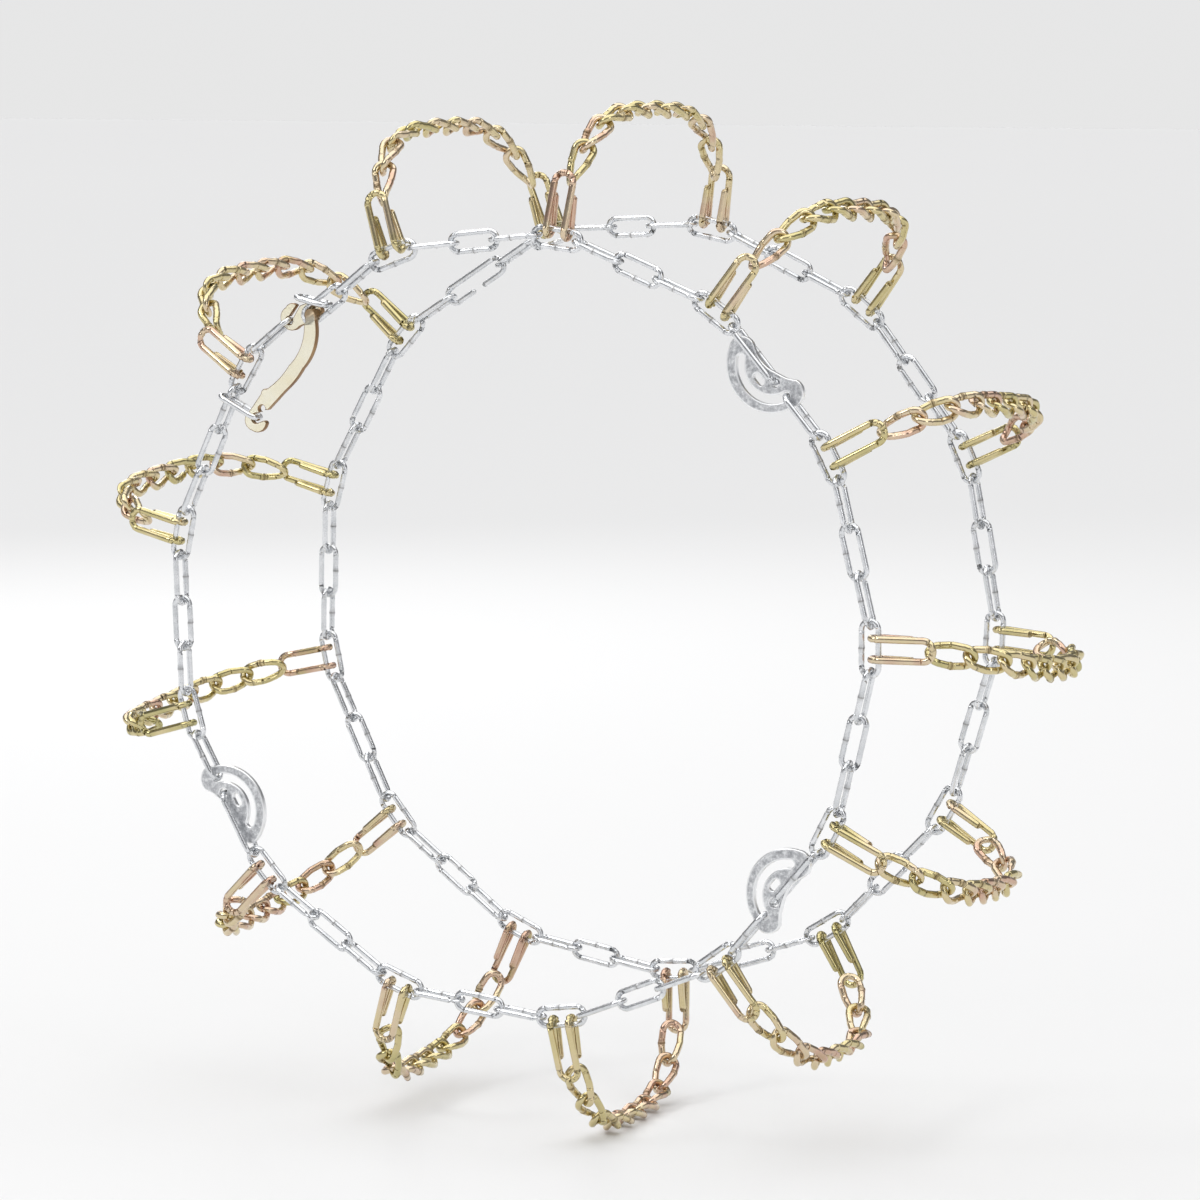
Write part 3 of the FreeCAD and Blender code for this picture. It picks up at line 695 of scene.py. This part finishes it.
# Radius of a plate's edges, height of the lip along them and width of the lip's slope.
CAM_EDGE = (0.7 * MM, 0.1 * MM, 0.9 * MM)
LEVER_EDGE = (0.45 * MM, 0.0, 0.3 * MM)
NECK_RINGS = 9
NECK_OVERLAP = 0.3 * MM          # the neck runs this far into both plates
NECK_FLARE = 0.8 * MM            # and widens this much into their faces


def face_loops(node, level):
    """Outlines of a CAD plate's flat face at a depth along the axle, as rows of (x, z).

    The outer one runs anticlockwise, seen from the outer side, and holes clockwise.
    """
    work = bmesh.new()
    work.from_mesh(frame["nodes"][node].data)
    bmesh.ops.remove_doubles(work, verts=work.verts, dist=WELDED)
    flat = dict.fromkeys(face for face in work.faces
                         if all(abs(v.co.y - level) < IN_PLANE for v in face.verts))
    following = {}
    for face in flat:
        for corner in face.loops:
            if sum(other in flat for other in corner.edge.link_faces) == 1:
                following[corner.vert] = corner.link_loop_next.vert
    loops = []
    while following:
        first, here = following.popitem()
        loop = [first]
        while here is not first:
            loop.append(here)
            here = following.pop(here)
        loops.append(np.array([(v.co.x, v.co.z) for v in loop]))
    work.free()
    loops.sort(key=lambda loop: -abs(turned_area(loop)))
    return [loop if (turned_area(loop) > 0) == (index == 0) else loop[::-1]
            for index, loop in enumerate(loops)]


def turned_area(loop):
    """Area in an outline, negative where it runs clockwise."""
    after = np.roll(loop, -1, axis=0)
    return float((loop[:, 0] * after[:, 1] - after[:, 0] * loop[:, 1]).sum() / 2)


def rounded(loop):
    """The outline with points between, on a smooth curve where it bends gently."""
    count = len(loop)
    edge = np.roll(loop, -1, axis=0) - loop
    length = np.linalg.norm(edge, axis=1)
    ahead = edge / length[:, None]
    behind = np.roll(ahead, 1, axis=0)
    before = np.roll(length, 1)
    bend = np.degrees(np.arccos(np.clip((ahead * behind).sum(1), -1, 1)))
    sharp = bend > SHARP_BEND
    straight = length > LONG_EDGE * np.maximum(before, np.roll(length, -1))
    tangent = unit(behind * length[:, None] + ahead * before[:, None])
    for index in range(count):
        if straight[index]:
            tangent[index] = tangent[(index + 1) % count] = ahead[index]
    points = []
    for index in range(count):
        points.append(loop[index])
        after = (index + 1) % count
        if sharp[index] or sharp[after] or straight[index]:
            continue
        for share in (0.25, 0.5, 0.75):
            square, cube = share ** 2, share ** 3
            points.append((2 * cube - 3 * square + 1) * loop[index]
                          + (3 * square - 2 * cube) * loop[after]
                          + (cube - 2 * square + share) * length[index] * tangent[index]
                          + (cube - square) * length[index] * tangent[after])
    return np.array(points)


def inset(loop, distance):
    """The outline moved into the material."""
    edge = unit(np.roll(loop, -1, axis=0) - loop)
    left = np.stack([-edge[:, 1], edge[:, 0]], 1)
    both = left + np.roll(left, 1, axis=0)
    direction = unit(both)
    stretch = 1 / np.maximum((direction * left).sum(1), MITRE)
    return loop + direction * (distance * stretch)[:, None]


def ring_at(work, outline, depth, mark):
    """Vertices along an outline at a depth, marked 1 for an edge or 0 for a face."""
    layer = work.verts.layers.float["edge"]
    ring = [work.verts.new((x, depth, z)) for x, z in outline]
    for vertex in ring:
        vertex[layer] = mark
    return ring


def bridge(work, rings):
    """Bands of faces from each ring of vertices to the next."""
    for near, far in zip(rings, rings[1:]):
        for index in range(len(near)):
            after = (index + 1) % len(near)
            work.faces.new((near[index], far[index], far[after], near[after]))


def plate(work, loops, outer, inner, round_edge, lip, border):
    """Flat plate between two depths, with rounded edges and a lip along them."""
    angles = [math.radians(a) for a in (0, 30, 60, 90)]
    half = [(round_edge * (1 - math.cos(a)), round_edge * (1 - math.sin(a)), 1.0)
            for a in angles]
    half[-1] = (round_edge, -lip, 1.0)
    half += [(round_edge + border, 0.0, 0.0), (round_edge + border * 1.5, 0.0, 0.0)]
    profile = ([(step, outer + down, mark) for step, down, mark in half[::-1]]
               + [(step, inner - down, mark) for step, down, mark in half])
    rims = [[], []]
    for loop in loops:
        rings = [ring_at(work, inset(loop, step), depth, mark)
                 for step, depth, mark in profile]
        bridge(work, rings)
        rims[0].append(rings[0])
        rims[1].append(rings[-1])
    for rim in rims:
        fill(work, rim)


def inside(point, loop):
    """Whether a point is inside a closed outline."""
    x, z = point
    after = np.roll(loop, -1, axis=0)
    spans = (loop[:, 1] > z) != (after[:, 1] > z)
    run = after[spans] - loop[spans]
    crossing = loop[spans, 0] + (z - loop[spans, 1]) / run[:, 1] * run[:, 0]
    return int((crossing > x).sum()) % 2 == 1


def fill(work, rings):
    """Flat face between an outer ring of vertices and the rings of its holes."""
    ring_of = [vertex for ring in rings for vertex in ring]
    flat = [Vector((vertex.co.x, vertex.co.z)) / MM for vertex in ring_of]
    edges, start = [], 0
    for ring in rings:
        count = len(ring)
        edges += [(start + i, start + (i + 1) % count) for i in range(count)]
        start += count
    places, _, faces, origins, _, _ = delaunay_2d_cdt(
        flat, edges, [], CDT_INSIDE, CDT_NEAR)
    outlines = [np.array([(v.co.x, v.co.z) for v in ring]) / MM for ring in rings]
    depth = ring_of[0].co.y
    vertices = []
    for place, origin in zip(places, origins):
        if origin:
            vertices.append(ring_of[origin[0]])
        else:
            vertices.append(work.verts.new((place.x * MM, depth, place.y * MM)))
    for face in faces:
        middle = sum((places[i] for i in face), Vector((0, 0))) / len(face)
        in_hole = any(inside(middle, hole) for hole in outlines[1:])
        if in_hole or not inside(middle, outlines[0]):
            continue
        corners = [vertices[i] for i in face]
        if len(set(corners)) == 3:
            work.faces.new(corners)


def plate_piece(node, material, build):
    """Smooth plate in the place of a CAD node's, with edges marked 1 and faces 0."""
    work = bmesh.new()
    work.verts.layers.float.new("edge")
    build(work)
    bmesh.ops.recalc_face_normals(work, faces=work.faces)
    mesh = bpy.data.meshes.new(node + "_plate")
    work.to_mesh(mesh)
    work.free()
    mesh.polygons.foreach_set("use_smooth", [True] * len(mesh.polygons))
    mesh.materials.append(material)
    piece = bpy.data.objects.new(node + "_plate", mesh)
    bpy.context.scene.collection.objects.link(piece)
    stand_for(piece, node)


def build_cam(node):
    """The builder of one cam: its plate with the curved slot, pivot hole and key slot."""
    low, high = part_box(node)

    def build(work):
        loops = [rounded(loop) for loop in face_loops(node, low.y)]
        plate(work, loops, low.y, high.y, *CAM_EDGE)
    return build


FOLD_BELOW_NECK = 6.5 * MM       # the arm's crook starts this far from the neck's centre
FOLD_HEADING = math.radians(22.5)    # lean of the arm's top, to the left of upright
FOLD_SLOPE = 0.62                # how far back it goes for each mm up
FOLD_CUTS = (0.0, 1.5 * MM, 3.0 * MM, 4.5 * MM)    # where the flat faces are divided
FOLD_GAP = 0.8 * MM              # the sloped top stays this far in front of the arm's back
FOLD_SHADE_REACH = 9 * MM               # the painted shade on the fold deepens to brown over this length
FOLD_SHADE_DEPTH = 0.9                 # and is this strong at most
TONGUE_SHARE = 0.74              # the arm narrows to this share of its width at the neck


def fold_arm(work, neck, arm_back):
    """Slopes the top of the arm back to the neck and narrows it, as a bent plate is."""
    layer = work.verts.layers.float["edge"]
    up = Vector((-math.sin(FOLD_HEADING), 0, math.cos(FOLD_HEADING)))
    middle = Vector((neck[0], 0, neck[1]))
    start = middle - up * FOLD_BELOW_NECK
    for cut in FOLD_CUTS:
        bmesh.ops.bisect_plane(work, geom=work.verts[:] + work.edges[:] + work.faces[:],
                               plane_co=start + up * cut, plane_no=up, dist=WELDED)
    for vertex in work.verts:
        beyond = (vertex.co - start).dot(up)
        if beyond < IN_PLANE:
            continue
        share = min(1.0, beyond / FOLD_BELOW_NECK)
        narrow = 1 - (1 - TONGUE_SHARE) * share * share * (3 - 2 * share)
        offset = vertex.co - middle
        offset.y = 0
        rise = offset.dot(up)
        aside = offset - up * rise
        moved = middle + aside * narrow + up * (rise * narrow if rise > 0 else rise)
        room = arm_back - FOLD_GAP - vertex.co.y
        back = max(0.0, min(room, beyond * FOLD_SLOPE))
        vertex.co = (moved.x, vertex.co.y + back, moved.z)
        # Painted shade: the fold is coloured browner the higher it runs towards the neck.
        vertex[layer] = min(FOLD_SHADE_DEPTH, max(vertex[layer], beyond / FOLD_SHADE_REACH))


def build_lever(work):
    """The lever's arm in front, its head plate behind, and the neck between them."""
    low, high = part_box("lever")
    levels = sorted({round(v.co.y, 6) for v in frame["nodes"]["lever"].data.vertices})
    arm_back, head_front = levels[1], levels[-2]
    arm = rounded(face_loops("lever", low.y)[0])
    head = rounded(face_loops("lever", high.y)[0])
    neck = rounded(face_loops("lever", arm_back)[1])[::-1]
    plate(work, [arm], low.y, arm_back, *LEVER_EDGE)
    fold_arm(work, neck.mean(0), arm_back)
    plate(work, [head], head_front, high.y, *LEVER_EDGE)
    rings = []
    for share in np.linspace(0, 1, NECK_RINGS):
        depth = arm_back - NECK_OVERLAP + (head_front - arm_back + 2 * NECK_OVERLAP) * share
        flare = NECK_FLARE * (abs(share - 0.5) * 2) ** 6
        rings.append(ring_at(work, inset(neck, -flare), depth, 1.0))
    bridge(work, rings)
    for ring in (rings[0], rings[-1]):
        work.faces.new(ring)


# ---------------------------------------------------------------- the object

make_camera()
make_world()
make_floor(cad_box[0].z - FLOOR_DROP)
zinc, gold = bright_zinc(), yellow_zinc()
cam_finish, lever_finish = cam_zinc(), lever_gold()
SIDE_RADIUS, CROSS_RADIUS, HOOK_RADIUS = 2.25 * MM, 2.85 * MM, 2.75 * MM

side_nodes = [n for n in frame["nodes"]
              if "side_chain" in n or (n.startswith("cam_") and n.endswith("link"))
              or n in ("lever_link", "latch_chain_end", "latch_ring", "keeper_ring")]
for name in sorted(side_nodes):
    wire_piece(name, SIDE_RADIUS, zinc)
wire_piece("inner_fastener", SIDE_RADIUS, zinc, opened=True)
for name in sorted(frame["nodes"]):
    if name.startswith("cross_chain"):
        wire_piece(name, CROSS_RADIUS, gold, weld_side=either_side)
    elif name.startswith(("outer_hook", "inner_hook")):
        wire_piece(name, HOOK_RADIUS, gold, opened=True)
    elif name in ("cam_1", "cam_2", "cam_3"):
        plate_piece(name, cam_finish, build_cam(name))
plate_piece("lever", lever_finish, build_lever)

area_light("key", (-2.6, -3.6, 3.4), (1.6, 1.2), 45)
area_light("fill", (3.6, -2.2, 1.6), (0.8, 2.0), 18)
area_light("back", (-2.4, 3.0, 1.8), (1.0, 1.6), 18)
bpy.context.scene.view_settings.view_transform = "Standard"
